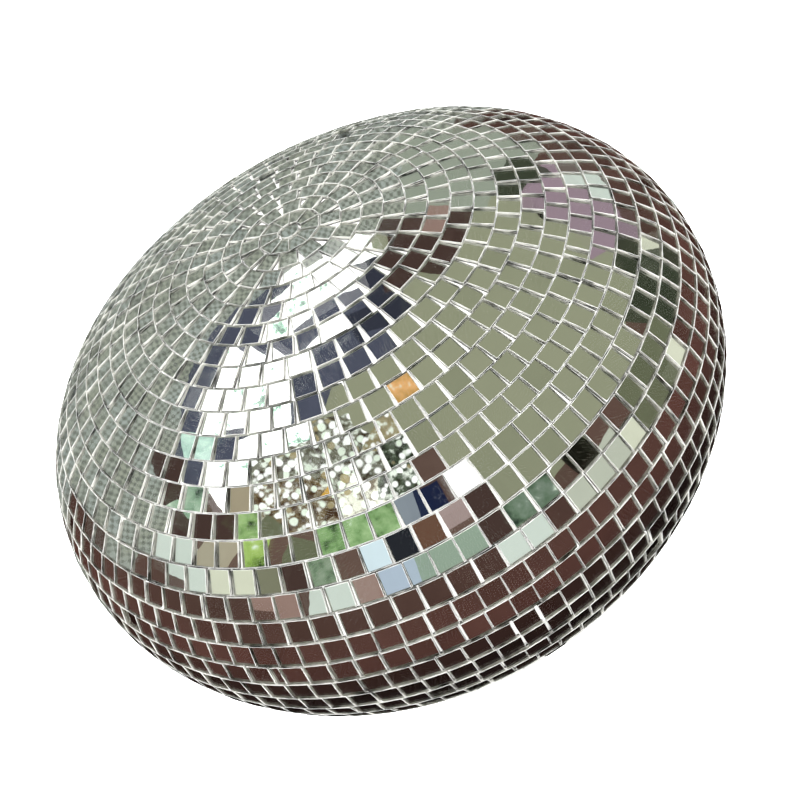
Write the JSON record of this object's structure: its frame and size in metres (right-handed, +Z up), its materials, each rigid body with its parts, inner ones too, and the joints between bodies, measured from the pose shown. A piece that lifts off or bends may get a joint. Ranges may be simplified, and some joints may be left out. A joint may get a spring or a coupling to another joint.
{
  "type": "mirror ball",
  "caption": "Flattened hollow ball covered in rows of small square glass mirrors, hung by a steel ring and a free-turning eye so that it throws moving spots of light.",
  "frame": {"origin": "inside top of the hanging ring, where a hook or motor pin carries the ball", "axes": "+Z up along the ball's axis of turning; the hanging ring lies in the YZ plane and the swivel eye in the XZ plane"},
  "size_m": [0.3805, 0.3804, 0.2663],
  "materials": {
    "mirror_tile": "silvered glass mosaic mirror, cut edges left bright",
    "tile_bed": "white adhesive bed, slightly glossy in the gaps",
    "shell_plastic": "moulded plastic, plain inside",
    "cap_chrome": "polished chrome on pressed steel, with hairline wear",
    "zinc_wire": "zinc-plated steel wire, lightly rubbed",
    "zinc_steel": "zinc-plated steel",
    "screw_steel": "zinc-plated screws and nuts",
    "brass": "turned brass",
    "gasket": "black rubber sheet"
  },
  "bodies": {
    "ring": {"hanging_ring": "zinc_wire"},
    "swivel": {"swivel_eye": "zinc_wire", "thrust_washer": "zinc_steel", "lock_nut": "zinc_steel"},
    "ball": {"cap_gasket": "gasket", "cap_screws": "screw_steel", "clamp_nuts": "screw_steel", "end_cap": "cap_chrome", "equator_hoop": "shell_plastic", "load_plate": "zinc_steel", "lower_bed": "tile_bed", "lower_shell": "shell_plastic", "pole_tile": "mirror_tile", "safety_bolt": "screw_steel", "safety_lug": "zinc_steel", "swivel_bush": "brass", "tile_row_01": "mirror_tile", "tile_row_02": "mirror_tile", "tile_row_03": "mirror_tile", "tile_row_04": "mirror_tile", "tile_row_05": "mirror_tile", "tile_row_06": "mirror_tile", "tile_row_07": "mirror_tile", "tile_row_08": "mirror_tile", "tile_row_09": "mirror_tile", "tile_row_10": "mirror_tile", "tile_row_11": "mirror_tile", "tile_row_12": "mirror_tile", "tile_row_13": "mirror_tile", "tile_row_14": "mirror_tile", "tile_row_15": "mirror_tile", "tile_row_16": "mirror_tile", "tile_row_17": "mirror_tile", "tile_row_18": "mirror_tile", "tile_row_19": "mirror_tile", "tile_row_20": "mirror_tile", "tile_row_21": "mirror_tile", "tile_row_22": "mirror_tile", "tile_row_23": "mirror_tile", "tile_row_24": "mirror_tile", "tile_row_25": "mirror_tile", "tile_row_26": "mirror_tile", "tile_row_27": "mirror_tile", "tile_row_28": "mirror_tile", "tile_row_29": "mirror_tile", "tile_row_30": "mirror_tile", "tile_row_31": "mirror_tile", "tile_row_32": "mirror_tile", "tile_row_33": "mirror_tile", "tile_row_34": "mirror_tile", "tile_row_35": "mirror_tile", "tile_row_36": "mirror_tile", "tile_row_37": "mirror_tile", "tile_row_38": "mirror_tile", "tile_row_39": "mirror_tile", "tile_row_40": "mirror_tile", "tile_row_41": "mirror_tile", "upper_bed": "tile_bed", "upper_shell": "shell_plastic"}
  },
  "joints": [
    {"name": "ring_swing", "type": "hinge", "parent": "ring", "child": "swivel", "pos_m": [0, 0, -0.027], "axis": [0, 1, 0], "range_deg": [-90, 90]},
    {"name": "ball_spin", "type": "hinge", "parent": "swivel", "child": "ball", "pos_m": [0, 0, -0.15654], "axis": [0, 0, 1], "continuous": true}
  ]
}
